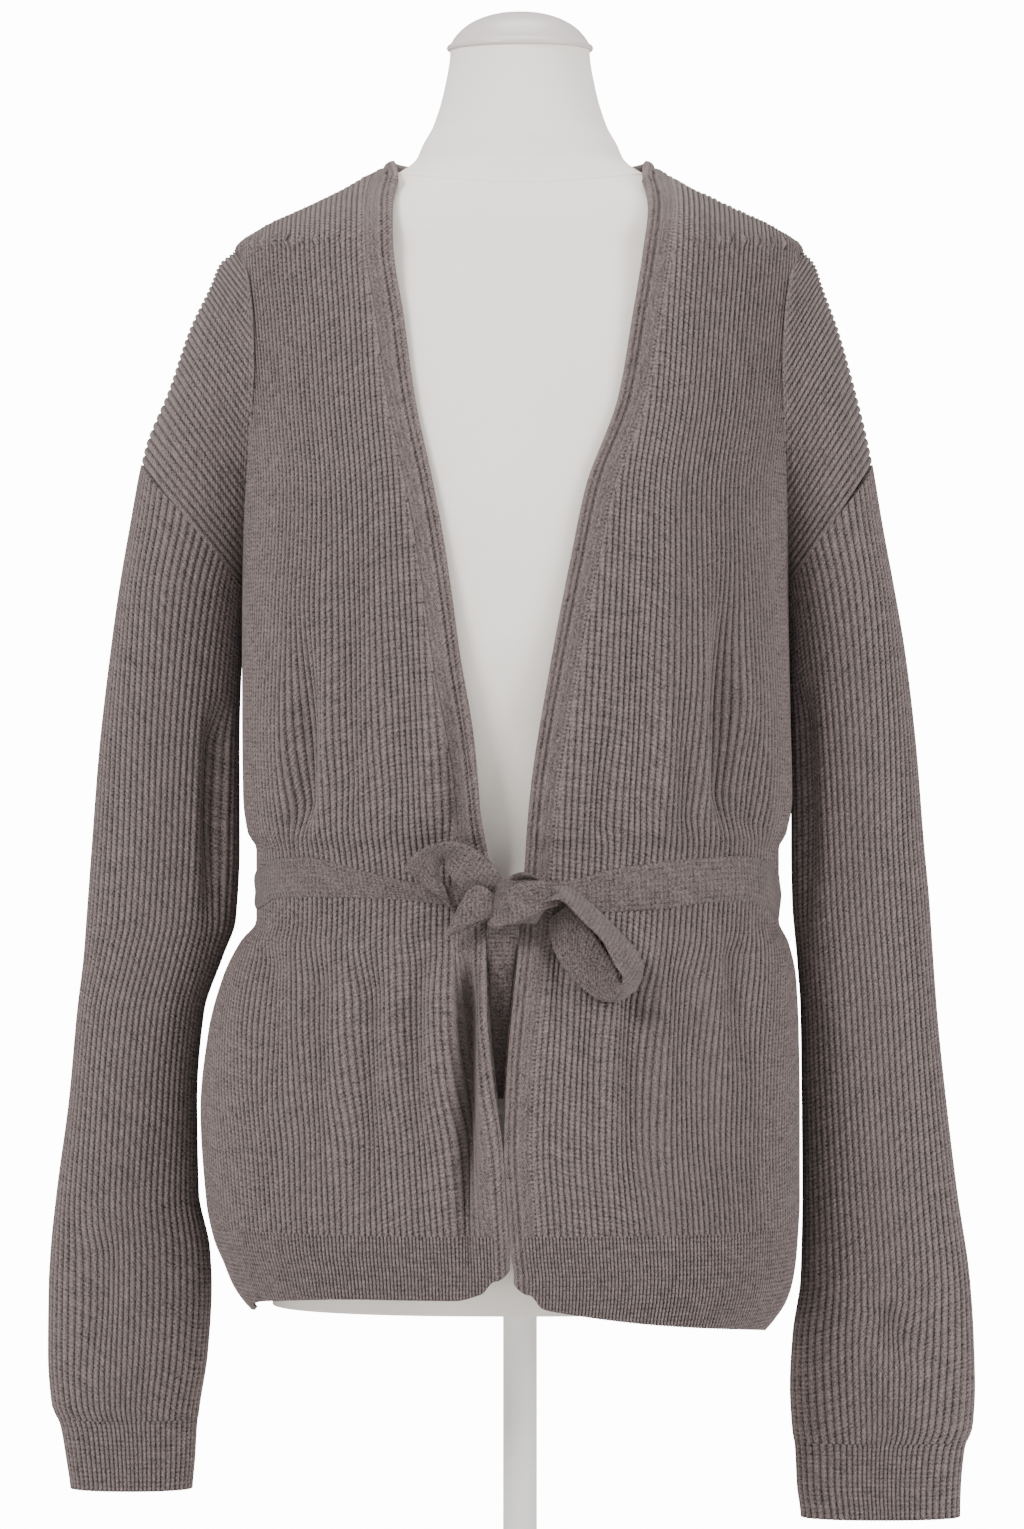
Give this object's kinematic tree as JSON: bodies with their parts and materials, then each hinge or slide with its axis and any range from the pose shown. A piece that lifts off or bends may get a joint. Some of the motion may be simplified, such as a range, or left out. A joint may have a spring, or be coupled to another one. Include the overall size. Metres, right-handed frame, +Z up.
{
  "type": "tie cardigan on a dress form",
  "caption": "Rib-knit cardigan with dropped shoulders, open in a deep V and tied with its own belt, on a limbless dress form with a pole and round base.",
  "frame": {"origin": "centre of the base plate's underside", "axes": "+Z up along the pole, -Y towards the cardigan's open front, +X towards the viewer's right"},
  "size_m": [0.4893, 0.28, 0.8404],
  "materials": {
    "rib knit": "matte marled wool rib",
    "belt knit": "matte fine knit",
    "form jersey": "matte stretched jersey",
    "cap plastic": "satin gloss",
    "stand paint": "satin paint"
  },
  "bodies": {
    "root": {"back": "rib knit", "left_front": "rib knit", "right_front": "rib knit", "hem_back": "rib knit", "hem_left": "rib knit", "hem_right": "rib knit", "left_sleeve": "rib knit", "right_sleeve": "rib knit", "left_cuff": "rib knit", "right_cuff": "rib knit", "front_band": "rib knit", "belt_waist": "belt knit", "belt_knot": "belt knit", "belt_right_loop": "belt knit", "belt_left_loop": "belt knit", "belt_turned_loop": "belt knit", "belt_tail": "belt knit", "form": "form jersey", "neck_cap": "cap plastic", "pole": "stand paint", "base_plate": "stand paint"}
  },
  "joints": []
}
